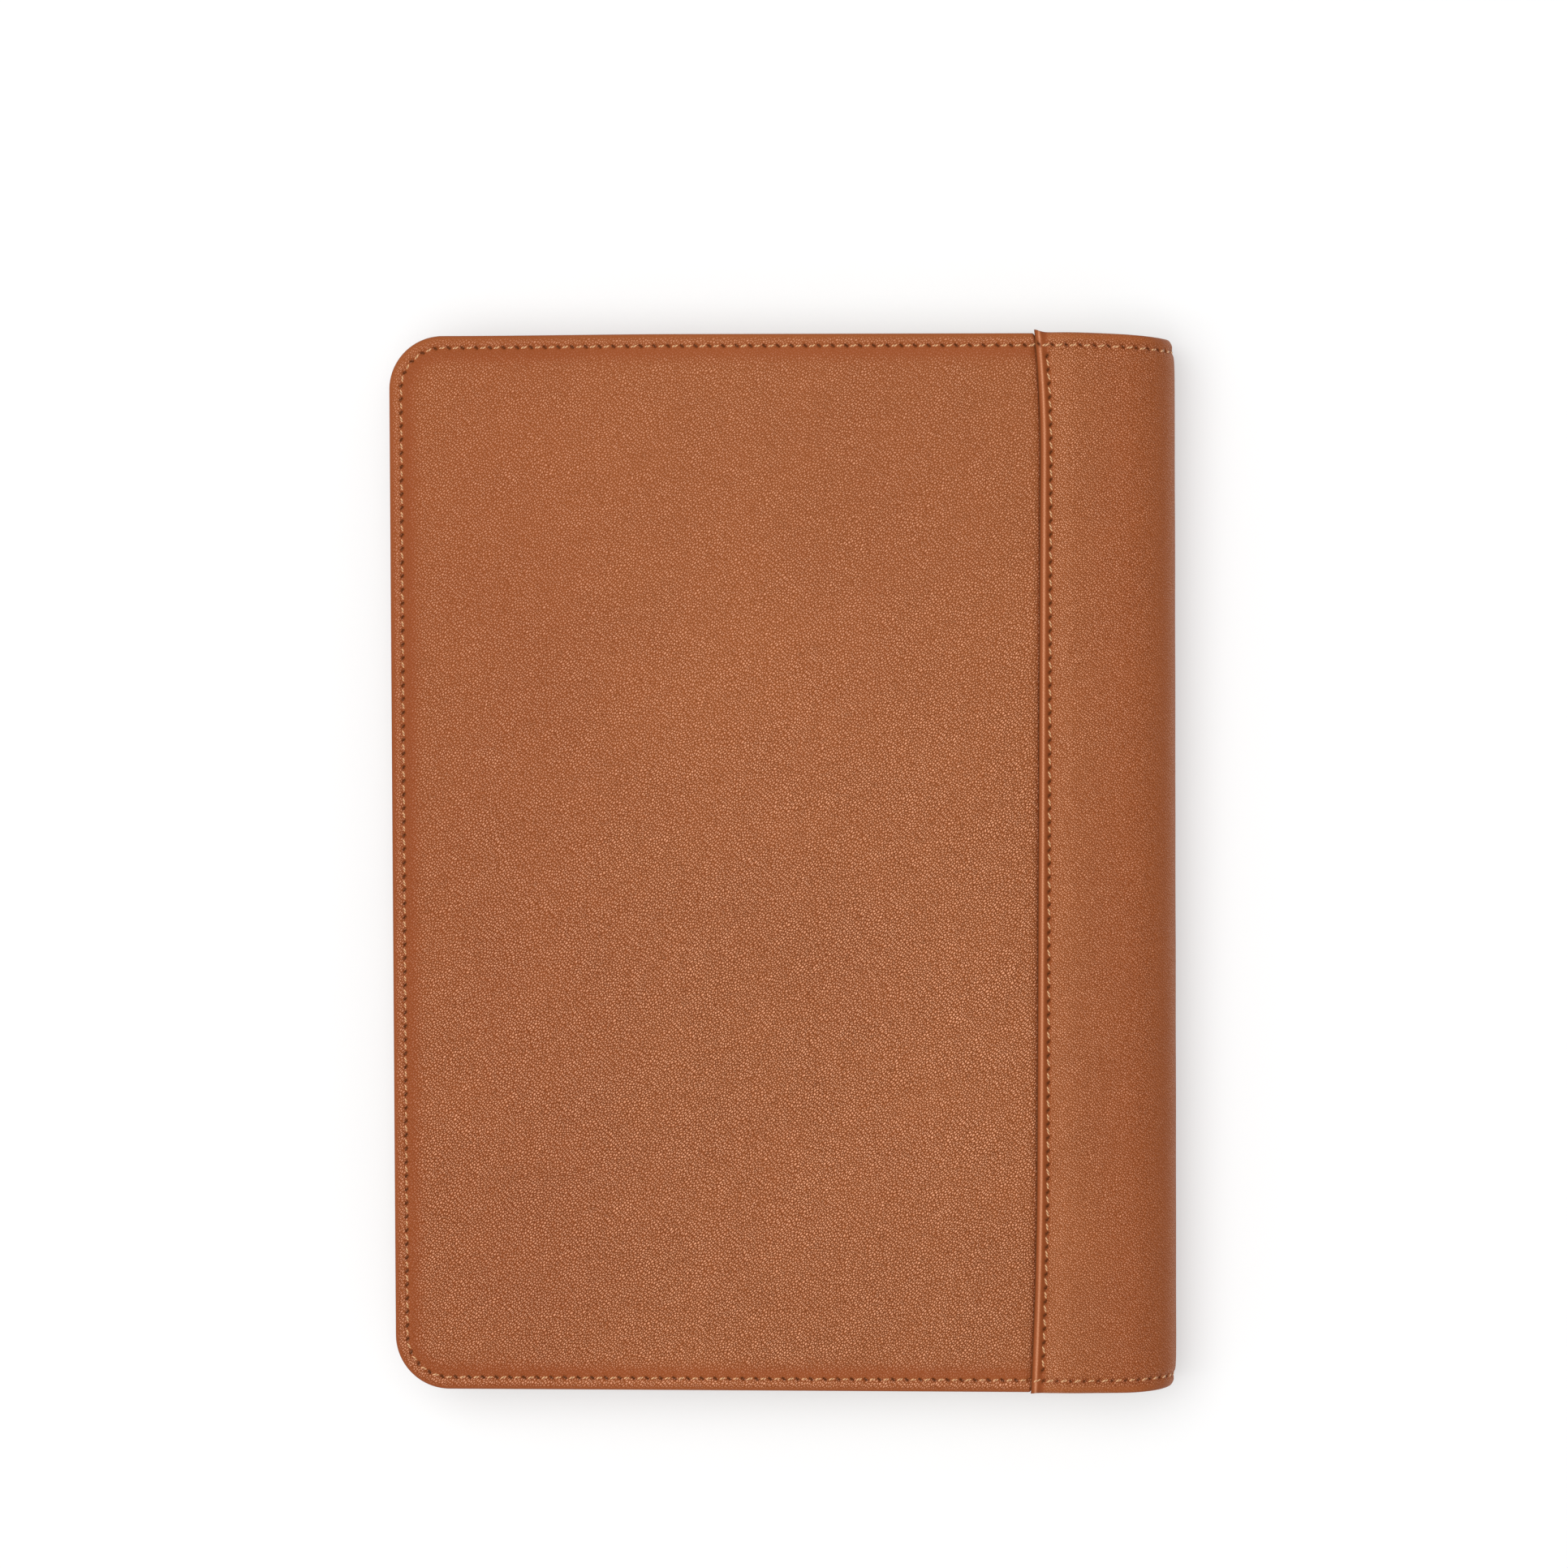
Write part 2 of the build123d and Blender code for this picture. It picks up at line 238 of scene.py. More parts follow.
def outward(points, faces):
    """The faces of a closed surface, turned to face outwards."""
    points = np.asarray(points).reshape(-1, 3)
    fans = [(face[0], face[i], face[i + 1]) for face in faces for i in range(1, len(face) - 1)]
    a, b, c = points[np.array(fans)].transpose(1, 0, 2)
    volume = (a * np.cross(b, c)).sum()
    return faces if volume > 0 else [tuple(face[::-1]) for face in faces]


def loft(rings, closed_rings=True):
    """Faces between rings of equal length; rings is how many there are and how long."""
    count, length = rings
    faces = []
    for start in range(0, (count - 1) * length, length):
        for j in range(length if closed_rings else length - 1):
            here, there = start + j, start + (j + 1) % length
            faces.append((here, there, there + length, here + length))
    return faces


def zipper(left, left_at, right, right_at):
    """Triangles between two rows of points whose spacings differ."""
    faces, i, j = [], 0, 0
    while i < len(left) - 1 or j < len(right) - 1:
        step_left = j == len(right) - 1 or (i < len(left) - 1 and left_at[i + 1] <= right_at[j + 1])
        if step_left:
            faces.append((left[i], left[i + 1], right[j]))
            i += 1
        else:
            faces.append((left[i], right[j + 1], right[j]))
            j += 1
    return faces


# ---- Leather panels ----
def panel_drop(u, v, d):
    """Depth of a panel's outer face: pressed at the stitches, crowned over its padding."""
    insets = [1.5, 1.9, 2.3, 2.6, 2.9, 3.4, 4.2, 5.5]
    base = table(d, insets, [0.86, 0.9, 1.0, 1.04, 1.02, 0.98, 0.95, 0.92])
    seam = seam_line(v)
    crown = 0.6 * MM * ease((d - 3.5 * MM) / (22 * MM)) * ease((seam - 0.5 * MM - u) / (20 * MM))
    dip = 0.28 * MM * ease((u - seam + 1.4 * MM) / (1.3 * MM))
    under = 0.3 * MM * ease((u - seam) / (1.0 * MM))
    waves = 0.05 * MM * ripple(u, v, 45 * MM, 1) * ease((d - 4 * MM) / (20 * MM))
    return base - crown + dip + under + waves


def painted_panel_shade(u, v, inset):
    """Painted shade on a panel: in the crease at the fold, on the slope just inside the stitches, toward
    the fore edge, and on the rolled rims except near the head.
    """
    # painted shade in the crease where the panel meets the spine leather's fold
    crease_shade = 0.6 * ease((u - seam_line(v) + 0.6 * MM) / (0.55 * MM))
    # painted shade on the slope just inside the stitches
    inner_slope_shade = 0.24 * bell(inset - 3.8 * MM, 1.9 * MM)
    # painted shade, darker toward the fore edge
    fore_edge_shade = 0.11 * ease((-15 * MM - u) / (50 * MM))
    # painted shade on the rolled rim, fading out near the head
    rolled = 0.13 * (1 - ease((inset - 0.9 * MM) / (0.8 * MM))) * (1 - ease((v - 95 * MM) / (15 * MM)))
    return np.maximum(crease_shade, inner_slope_shade + fore_edge_shade + rolled)


def painted_rim_highlight(v, inset):
    """A painted highlight on a panel's band just outside the stitches, weaker near the head."""
    strength = 0.10 - 0.04 * ease((v - 95 * MM) / (15 * MM))
    return strength * bell(inset - 1.75 * MM, 0.55 * MM)


def panel_rings():
    """A panel's section, from the band's inner side out over the face, round the roll and in under
    the board: (inset, depth), with no depth on the face, where panel_drop() gives it."""
    face = [(d * MM, None) for d in (5.5, 4.6, 3.9, 3.4, 3.1, 2.85, 2.6, 2.35, 2.1, 1.8)]
    top, bottom = ROLL_TOP, LINING_DROP
    roll = []
    for degrees in (90, 70, 50, 30, 10, -10, -30, -55, -80):
        phi = math.radians(degrees)
        depth = (top + bottom) / 2 - (bottom - top) / 2 * math.sin(phi)
        roll.append((ROLL * (1 - math.cos(phi)), depth))
    under = [(10, 3.0), (10, 2.55), (1.2, 2.55), (1.2, 1.9), (1.7, 1.57), (5.5, 1.57)]
    return face, roll, [(inset * MM, drop * MM) for inset, drop in under]


def panel_field(s):
    """The flat part inside the band: (its points, the points along the panel's spine side, its
    triangles). The band's points come first, then rows that coarsen inwards, then a plain grid."""
    count, step = len(s), 1.5 * MM
    field = [np.stack(edge_place(s, np.full(count, BAND)), axis=-1)]
    for inset, every in ((5.95 * MM, 2), (6.9 * MM, 4)):
        field.append(np.stack(edge_place(s[every // 2 :: every], inset), axis=-1)[1:-1])
    # closer columns where the panel dips under the spine leather
    plain_us = np.arange(-HALF_W + 8.4 * MM, 50.5 * MM, step)
    us = np.concatenate([plain_us, np.linspace(51.5 * MM, PANEL_END - 0.5 * MM, 16)])
    vs = np.arange(-HALF_H + 8.4 * MM, HALF_H - 8.3 * MM, step)
    grid = np.stack(np.meshgrid(us, vs), axis=-1).reshape(-1, 2)
    field.append(grid[edge_inset(grid[:, 0], grid[:, 1]) > 8.1 * MM])
    side_v = np.arange(-HALF_H + 7 * MM, HALF_H - 6.9 * MM, step)
    field.append(np.stack([np.full(len(side_v), PANEL_END), side_v], axis=-1))
    flat = np.concatenate(field)
    side_at = len(flat) - len(side_v)
    edge = [count - 1] + list(range(len(flat) - 1, side_at - 1, -1)) + [0]
    rim = [(i, i + 1) for i in range(count - 1)] + list(zip(edge[:-1], edge[1:]))
    scaled = [Vector(p / MM) for p in flat]
    _, _, triangles, origin, _, _ = delaunay_2d_cdt(scaled, rim, [], 1, 1e-6)
    return flat, edge, [tuple(origin[i][0] for i in triangle) for triangle in triangles]


def leather_panel(name, side, material):
    """Outer leather of one cover: puffed face, rolled edge, turned over the board's rim."""
    end = FORE_RUN + CORNER_RUN + PANEL_END + HALF_W - CORNER_R
    count = int(round(2 * end / (PITCH / 10)))
    s = np.linspace(-end, end, count)
    points, marks = [], {"skin": [], "grain": [], "dark": [], "painted_highlight": []}

    def add(u, v, drop, skin_u, skin_v, inset, dark, painted_highlight):
        """One ring, or one layer of the field."""
        points.append(wrap(u, v, drop, side))
        skin_u = skin_u + FRONT_SHIFT * (side < 0)
        marks["skin"].append(np.stack([skin_u, skin_v, np.full(len(u), float(side))], axis=-1))
        marks["grain"].append(panel_grain(u, v, inset) * np.ones(len(u)))
        # painted shade: the stitch holes', and the panel's own in its crease, on its slopes and rims
        marks["dark"].append(np.maximum(dark, painted_panel_shade(u, v, inset)))
        marks["painted_highlight"].append(painted_highlight)

    face, roll, under = panel_rings()
    rings = face + roll + under
    flat_inset, before = BAND, (BAND, ROLL_TOP)
    for inset, drop in rings:
        u, v = edge_place(s, np.full(count, inset))
        past_seam = u - seam_line(v)
        if drop is None:
            # the stitch holes' and groove's darkness is painted shade
            depth, dark = stitch_marks(s, inset - STITCH_INSET, PITCH)
            level = panel_drop(u, v, np.full(count, inset)) + depth
        else:
            dark = np.zeros(count)
            level = drop + 0.35 * MM * ease(past_seam / (1.2 * MM)) * ((inset, drop) in roll)
        # how far in the ring would lie if the leather were unrolled flat
        here = (inset, drop or ROLL_TOP)
        flat_inset -= math.dist(here, before)
        before = here
        # under the spine leather the rim is drawn in
        seam_gap = 1.1 * MM * ease((past_seam + 0.3 * MM) / (0.9 * MM))
        v = v - np.sign(v) * seam_gap * (inset < BAND)
        flat_u, flat_v = edge_place(s, np.full(count, flat_inset))
        # a painted highlight on the band just outside the stitches
        add(u, v, level, flat_u, flat_v, inset, dark, painted_rim_highlight(v, inset))
    faces = loft((len(rings), count), closed_rings=False)

    flat, edge, triangles = panel_field(s)
    u, v = flat[count:, 0], flat[count:, 1]
    inset, plain = edge_inset(u, v), np.zeros(len(u))
    outer = panel_drop(u, v, inset)
    for drop in (outer, np.minimum(outer + PANEL_LEATHER, PANEL_BACK)):
        add(u, v, drop, u, v, inset, plain, plain)

    def index(i, layer):
        """A field point's place in the whole mesh; the band's rings double as its first points."""
        band = len(rings) * count
        if i < count:
            return i if layer == 0 else band - count + i
        return band + layer * len(u) + i - count

    for a, b, c in triangles:
        faces.append((index(a, 0), index(b, 0), index(c, 0)))
        faces.append((index(c, 1), index(b, 1), index(a, 1)))
    for a, b in zip(edge[:-1], edge[1:]):
        faces.append((index(b, 0), index(b, 1), index(a, 1), index(a, 0)))
    faces.append([k * count for k in range(len(rings))])
    faces.append([k * count + count - 1 for k in range(len(rings) - 1, -1, -1)])
    points = np.concatenate(points)
    marks = {key: np.concatenate(value) for key, value in marks.items()}
    return add_mesh(name, points, outward(points, faces), material, marks)


# ---- Spine leather: the flap on a cover, and round to the middle of the spine ----
def ridge(c):
    """Depth of the spine leather's face at distance c from its fold: a ridge, a stitched valley."""
    return table(
        c,
        [0.75, 1.0, 1.3, 1.6, 1.9, 2.15, 2.35, 2.6, 2.9, 3.3, 4.0, 5.5, 9.0, 17.0],
        [0.02, 0.0, 0.05, 0.17, 0.34, 0.44, 0.47, 0.43, 0.34, 0.26, 0.19, 0.13, 0.09, 0.09],
    )


def flap_u(c, v):
    """Pattern place across the cover of a point c from the fold, at height v."""
    bow = (seam_line(v) - SEAM_X) * (1 - ease((c - 3.2 * MM) / (9 * MM)))
    return SEAM_X + c + bow


def flap_drop(c, v):
    """(depth, darkness) of the spine leather's outer face; the darkness is painted shade in the stitch
    holes.
    """
    from_edge = HALF_H - np.abs(v)
    valley = 0.3 * MM * bell(from_edge - STITCH_INSET, 0.8 * MM)
    seam_depth, seam_dark = stitch_marks(v, c - SEAM_STITCH, PITCH)
    inside = ease((from_edge - 3.4 * MM) / (0.6 * MM))
    run = FORE_RUN + CORNER_RUN + flap_u(c, v) + HALF_W - CORNER_R
    edge_depth, edge_dark = stitch_marks(run, from_edge - STITCH_INSET, PITCH)
    waves = 0.035 * MM * ripple(c, v, 0.03, 4) * ease((c - 3 * MM) / (3 * MM))
    base = ridge(c)
    drop = base + valley * (1 - base / (0.6 * MM)) + seam_depth * inside + edge_depth + waves
    return np.minimum(drop, 1.05 * MM), np.maximum(seam_dark * inside, edge_dark)


def spine_marks(c):
    """(grain, painted shade, painted highlight) of the spine leather at distance c from its fold."""
    grain = 0.12 + 0.66 * (ease((c - 1.9 * MM) / (1.5 * MM)) - 0.5 * ease((c - 22 * MM) / (7 * MM)))
    # painted shade on the ridge's flanks, in the fold's nose and toward the spine's curve
    flank_shade = 0.36 * (1 - bell(c - 0.95 * MM, 0.35 * MM)) * (1 - ease((c - 2.2 * MM) / MM))
    dark = flank_shade + 0.3 * bell(c, 0.22 * MM) + 0.13 * ease((c - 7 * MM) / (14 * MM))
    # a painted highlight on the ridge's crest, a painted sheen beside the seam and a painted reflection
    # on the spine's far rim
    crest_highlight, seam_sheen = 0.30 * bell(c - 1.0 * MM, 0.26 * MM), 0.06 * bell(c - 4.5 * MM, 3 * MM)
    return grain, dark, crest_highlight + seam_sheen + 0.16 * ease((c - 27 * MM) / (5 * MM))


def spine_leather(name, side, material):
    """Half of the spine leather, as one closed sheet: the folded nose, then on round the spine."""
    fine, nose_width, middle, back = PITCH / 8, 0.75 * MM, 0.66 * MM, 1.12 * MM
    nose = np.radians([8, 20, 34, 50, 68])
    columns = [(nose_width * (1 - math.cos(angle)), math.sin(angle)) for angle in nose]
    end = U_MID - SEAM_X
    straight = np.concatenate([np.arange(0.75, 3.8, 0.19) * MM, np.arange(3.8 * MM, end, fine), [end]])
    columns += [(c, 1.0) for c in straight]

    # a section runs up the outer face, round the head, down the inner face and round the tail
    reach = HALF_H - ROLL
    rows = np.linspace(-reach, reach, int(2 * reach / fine) + 1)
    behind = np.linspace(reach, -reach, 14)
    roll = np.radians([70, 48, 26, 5, -18, -42, -66, -90])
    roll_v = HALF_H - ROLL * (1 - np.cos(roll))
    around = (math.pi / 2 - roll) * ROLL
    vs = np.concatenate([rows, roll_v, behind, -roll_v[::-1]])
    skin_v = np.concatenate([rows, reach + around, behind, -reach - around[::-1]])
    lift = ease((np.abs(vs) - HALF_H + 4 * MM) / (3 * MM))
    length, turn = len(vs), len(rows) + len(roll)
    points, marks = [], {"skin": [], "grain": [], "dark": [], "painted_highlight": []}
    for c, rise in columns:
        outer, stitch_dark = flap_drop(np.full(len(rows), c), rows)
        outer, inner = middle + (outer - middle) * rise, middle + (back - middle) * rise
        # the roll's foot: down to the board's underside, and less far round the spine
        foot = table(c + SEAM_X, [54, 66, 72, 90], [3.0, 3.0, 1.4, 1.4])
        foot = inner + (foot - inner) * ease((c - 0.1 * MM) / (1.3 * MM))
        head, tail = ((top + foot) / 2 - (foot - top) / 2 * np.sin(roll) for top in outer[[-1, 0]])
        drops = np.concatenate([outer, head, np.full(len(behind), inner), tail[::-1]])
        tip = 0.55 * MM * bell(c, 1.5 * MM) * (vs > 0) + 0.15 * MM
        u = flap_u(c, vs)
        points.append(wrap(u, vs + np.sign(vs) * tip * lift, drops, side))
        skin_u = 2 * U_MID - u if side < 0 else u
        marks["skin"].append(np.stack([skin_u + SPINE_SHIFT, skin_v, np.full(length, 3.0)], axis=-1))
        # painted shade, with the stitch holes', and painted highlight across the spine leather
        grain, dark, painted_highlight = spine_marks(c)
        marks["grain"].append(grain * (0.5 + 0.5 * ease((HALF_H - np.abs(vs) - 0.9 * MM) / MM)))
        marks["dark"].append(np.maximum(np.pad(stitch_dark, (0, length - len(rows))), dark))
        marks["painted_highlight"].append(np.full(length, painted_highlight))

    faces = loft((len(columns), length))
    front, back = list(range(turn)), [k % length for k in range(length, turn - 1, -1)]
    for ring, flip in ((0, True), (len(columns) - 1, False)):
        height = points[ring][:, 1]
        for face in zipper(front, height[front], back, height[back]):
            if len(set(face)) == 3:
                face = tuple(ring * length + i for i in face)
                faces.append(face[::-1] if flip else face)
    marks = {key: np.concatenate(value) for key, value in marks.items()}
    points = np.concatenate(points)
    return add_mesh(name, points, outward(points, faces), material, marks)


# ---- Stitches ----
def stitch_row(place, pitch, first, last, radius=THREAD):
    """Twisted stitches first..last of a row. place(s, across, lift) puts a point in the model."""
    sides, rings, twist_turn, golden_angle = 10, 9, 7.0, 2.399
    starts = np.arange(first, last) * pitch
    t = np.linspace(0, 1, rings)
    margin = 0.42 * MM
    run = margin + t * (pitch - 2 * margin)
    arch = np.sin(math.pi * t) ** 0.7
    lift = 0.5 * MM * arch - 0.42 * MM
    across = math.tan(THREAD_SLANT) * (pitch / 2 - run)
    thick = radius * (0.72 + 0.28 * arch)
    phi = np.linspace(0, 2 * math.pi, sides, endpoint=False)
    turned = phi[None, :] - t[:, None] * twist_turn
    ply = 1 + 0.13 * np.cos(2 * turned)
    cross = thick[:, None] * ply * np.cos(phi)[None, :]
    up = thick[:, None] * ply * np.sin(phi)[None, :]
    # every stitch is a little different
    wobble = np.sin(starts / pitch * golden_angle)
    s = starts[:, None, None] + run[None, :, None] * np.ones((1, 1, sides))
    a = across[None, :, None] * (1 + 0.25 * wobble[:, None, None]) + cross[None]
    h = lift[None, :, None] + up[None] + 0.03 * MM * wobble[:, None, None]
    points = place(s, a, h)
    ring = loft((rings, sides))
    ring.append(tuple(range(sides - 1, -1, -1)))
    ring.append(tuple(range((rings - 1) * sides, rings * sides)))
    ring = outward(points[0], ring)
    size = rings * sides
    faces = [tuple(i + n * size for i in face) for n in range(len(starts)) for face in ring]
    twist = np.broadcast_to(turned[None], s.shape)
    return points.reshape(-1, 3), faces, twist.ravel(), np.stack([s, a, h], axis=-1).reshape(-1, 3)


def edge_level(s):
    """Depth at which the edge stitches lie: on the panel, or up on the spine leather."""
    u, v = edge_place(s, STITCH_INSET)
    on_flap = ease((u - seam_line(v) - 0.1 * MM) / (0.5 * MM))
    return 1.28 * MM * (1 - on_flap) + 0.52 * MM * on_flap


def edge_row(side):
    """Where a point of the outer edge stitching lies."""

    def place(s, across, lift):
        u, v = edge_place(s, STITCH_INSET + across)
        return wrap(u, v, edge_level(s) - lift, side)

    return place


def seam_row(side):
    """Where a point of the stitching beside the fold lies."""

    def place(s, across, lift):
        u = flap_u(SEAM_STITCH, s) + across
        return wrap(u, s, ridge(np.full(np.shape(s), SEAM_STITCH)) + 0.14 * MM - lift, side)

    return place


def inner_row(side, level):
    """Where a point of the stitching on the inside of a cover lies. level(u) is its depth."""

    def place(s, across, lift):
        u, v = edge_place(s, STITCH_INSET + across)
        return wrap(u, v, level(u) - 0.1 * MM + lift, side)

    return place


def flat_row(side, across_at, level, along_v=True):
    """Where a point of a straight row on a pocket lies."""

    def place(s, across, lift):
        depth = level(s) + lift - 0.05 * MM
        if along_v:
            return wrap(across_at + across, s, depth, side)
        return wrap(s, across_at + across, depth, side)

    return place


def add_stitches(name, rows, material):
    """One piece from several rows of stitches."""
    points, faces, twists, skins, base = [], [], [], [], 0
    for row_points, row_faces, twist, skin in rows:
        points.append(row_points)
        faces += [tuple(i + base for i in face) for face in row_faces]
        twists.append(twist)
        skins.append(skin)
        base += len(row_points)
    marks = {"twist": np.concatenate(twists), "skin": np.concatenate(skins)}
    return add_mesh(name, np.concatenate(points), faces, material, marks)


# ---- Linings, pads, pockets and paper: closed sheets with softly rounded edges ----
def soft_sheet(
    name, columns, ends, outer, inner, side, material, *, rows, soft=0.3 * MM, fine_end=0.0
):
    """A closed sheet. columns is where its sections stand, from u to u; ends(u) is how far each
    section reaches in v; outer and inner are its two faces, each a depth or a function of (u, v).
    side is the cover that it bends with, or 0 for a flat sheet whose depths are heights. fine_end
    is a width at the high end with closer rows."""
    first, last = columns[0], columns[-1]
    share = np.linspace(0, 1, rows)
    points, skins = [], []
    angles = np.radians([54, 18, -18, -54])
    for u in columns:
        low, high = ends(u)
        low, high = low + soft, high - soft
        v = low + (high - low) * share
        if fine_end:
            v = np.linspace(low, high - fine_end, rows)
            v = np.concatenate([v, np.linspace(high - fine_end, high, 14)[1:]])
        column = np.full(len(v), u)
        top, bottom = (
            face(column, v) if callable(face) else np.full(len(v), face) for face in (outer, inner)
        )
        middle = (top + bottom) / 2
        # the first and last sections are thinner, which rounds those two edges
        near = min(u - first, last - u)
        rise = max(math.sqrt(max(0.0, 1 - max(0.0, 1 - near / soft) ** 2)), 0.3)
        top, bottom = middle + (top - middle) * rise, middle + (bottom - middle) * rise
        half_low, half_high = (bottom[0] - top[0]) / 2, (bottom[-1] - top[-1]) / 2
        loop_v = np.concatenate([v, high + soft * np.cos(angles), v[::-1], low - soft * np.cos(angles)])
        high_bend = middle[-1] - half_high * np.sin(angles)
        low_bend = middle[0] + half_low * np.sin(angles)
        loop_drop = np.concatenate([top, high_bend, bottom[::-1], low_bend])
        loop_u = np.full(len(loop_v), u)
        place = np.stack([loop_u, loop_v, loop_drop], axis=-1)
        points.append(wrap(loop_u, loop_v, loop_drop, side) if side else place)
        skins.append(place)
    length, count = len(loop_v), len(v)
    faces = loft((len(columns), length))
    far, bend = (len(columns) - 1) * length, len(angles)
    for base in (0, far):
        cap = [(k, k + 1, 2 * count + bend - 2 - k, 2 * count + bend - 1 - k) for k in range(count - 1)]
        cap.append(tuple(range(count - 1, count + bend + 1)))
        cap.append(tuple([0, *range(length - 1, length - bend - 2, -1)][::-1]))
        cap = [tuple(base + i for i in face) for face in cap]
        faces += [face[::-1] for face in cap] if base == 0 else cap
    points, skins = np.concatenate(points), np.concatenate(skins)
    marks = {"skin": skins, "grain": np.ones(len(points)), "dark": np.zeros(len(points))}
    return add_mesh(name, points, outward(points, faces), material, marks)


def spread(*spans):
    """Places along a line: each span is (from, to, how many steps)."""
    places = [np.linspace(a, b, n + 1)[:-1] for a, b, n in spans]
    return np.concatenate(places + [[spans[-1][1]]])


def rounded_columns(left, radius, *spans, steps=9):
    """Sections of a sheet that is rounded at left: round the corners, then along the spans."""
    corner = left + radius * (1 - np.cos(np.linspace(0, math.pi / 2, steps)))
    return np.concatenate([corner, spread(*spans)[1:]])


def rounded_ends(left, radius, reach):
    """How far a section reaches where the sheet's two corners at left are rounded."""

    def ends(u):
        near = min(max((u - left) / radius, 0), 1)
        high = reach - radius + radius * math.sqrt(1 - (1 - near) ** 2)
        return -high, high

    return ends


def spine_foot(u):
    """How a cover's inner faces rise toward the spine, from 0 on the board to 1."""
    return ease((u - BOARD_END + 1 * MM) / (SPINE_X - BOARD_END))


def cover_lining(prefix, side, material):
    """Lining of a cover and of half the spine."""
    inset, overlap = 0.8 * MM, 0.02 * MM
    start, end = -70 * MM, 60 * MM
    left, radius = inset - HALF_W, CORNER_R - inset

    def outer(u, v):
        return LINING_DROP - (LINING_DROP - LINING_DROP_SPINE) * spine_foot(u) + overlap

    return soft_sheet(
        f"{prefix}_cover_lining",
        rounded_columns(left, radius, (start, end, 44), (end, SPINE_X, 16), (SPINE_X, U_MID, 30)),
        rounded_ends(left, radius, HALF_H - inset),
        outer,
        lambda u, v: outer(u, v) + LINING - overlap,
        side,
        material,
        rows=80,
    )


def spine_stiffener(prefix, side, material):
    """Half of the flexible strip inside the spine."""
    reach = HALF_H - 1.6 * MM
    return soft_sheet(
        f"{prefix}_spine_stiffener",
        spread((SPINE_X - 3 * MM, U_MID, 34)),
        lambda u: (-reach, reach),
        STIFFENER[0],
        STIFFENER[1],
        side,
        material,
        rows=60,
        soft=0.1 * MM,
    )


def foam_pad(prefix, side, material):
    """Thin pad that gives the panel its crown: thick in the middle, nothing at its edges."""
    inset, radius, right = 5 * MM, 7 * MM, 50.5 * MM
    left = -HALF_W + inset

    def outer(u, v):
        inside = panel_drop(u, v, edge_inset(u, v)) + PANEL_LEATHER + 0.01 * MM
        return np.minimum(inside, BOARD_DROP - 0.02 * MM)

    return soft_sheet(
        f"{prefix}_foam_pad",
        rounded_columns(left, radius, (left + radius, right, 60)),
        rounded_ends(left, radius, HALF_H - inset),
        outer,
        BOARD_DROP,
        side,
        material,
        rows=110,
        soft=0.6 * MM,
    )


def crease_line(distance):
    """Depth of the line pressed beside a pocket's mouth, distance from the mouth."""
    return 0.1 * MM * bell(distance - 2.6 * MM, 0.35 * MM)


def wide_pocket(name, node, side, outer, inner, material, steps, rows):
    """A pocket over the fore part of a cover's lining, its mouth toward the spine."""
    low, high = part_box(node)
    left, right = low.x, high.x
    radius = CORNER_R - (left + HALF_W)
    mouth, lip = right - 4 * MM, right - 0.3 * MM
    spans = (left + radius, mouth, steps), (mouth, lip, 14), (lip, right, 3)
    columns = rounded_columns(left, radius, *spans)
    ends = rounded_ends(left, radius, high.y)
    return soft_sheet(name, columns, ends, outer, inner, side, material, rows=rows)


def slip_pocket(material):
    """Slip pocket over the fore half of the front cover's lining."""
    low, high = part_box("front_slip_pocket")

    def inner(u, v):
        return high.z - crease_line(high.x - u) - 0.02 * MM * ripple(u, v, 50 * MM, 7)

    name = "front_pocket_leather"
    return wide_pocket(name, "front_slip_pocket", -1, low.z + 0.02 * MM, inner, material, 40, 90)


def refill_pocket(material):
    """Pocket inside the back cover, risen over the refill's back card."""
    low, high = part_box("refill_pocket")
    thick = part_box("refill_back_cover")[0].z - low.z

    def face(u, v):
        rise = ease((edge_inset(u, v) - 3.4 * MM) / (4.4 * MM))
        return COVER_DROP + thick + (THICKNESS - low.z - COVER_DROP - thick) * rise

    def outer(u, v):
        return face(u, v) - thick + 0.02 * MM

    def inner(u, v):
        return face(u, v) - crease_line(high.x - u)

    return wide_pocket("back_pocket_leather", "refill_pocket", 1, outer, inner, material, 36, 110)


def card_slot(node, material):
    """One card slot: a strip with a creased mouth at the head end."""
    low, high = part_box(node)
    side_band = 4 * MM

    def inner(u, v):
        inside = np.minimum(u - low.x, high.x - u)
        puff = 0.06 * MM * ease((inside - 2.5 * MM) / (9 * MM)) * ease((v - low.y - 3 * MM) / (8 * MM))
        return high.z - SLOT_SINK - crease_line(high.y - v) + puff

    middle = (low.x + side_band, high.x - side_band, 34)
    return soft_sheet(
        f"{node}_leather",
        spread((low.x, middle[0], 8), middle, (middle[1], high.x, 8)),
        lambda u: (low.y, high.y),
        low.z + 0.02 * MM,
        inner,
        -1,
        material,
        rows=30,
        fine_end=4.2 * MM,
    )


def paper(name, node, material, soft, bottom=None, top=None, trim=0.0):
    """A card or a sheet of the refill, rounded at its fore corners. It fills its node's height
    unless bottom and top say otherwise."""
    low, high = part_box(node)
    bottom, top = bottom or low.z, top or high.z
    left, radius = low.x + trim, 3 * MM
    columns = rounded_columns(left, radius, (left + radius, high.x, 60), steps=8)
    ends = rounded_ends(left, radius, high.y - trim)
    return soft_sheet(name, columns, ends, bottom, top, 0, material, rows=12, soft=soft)


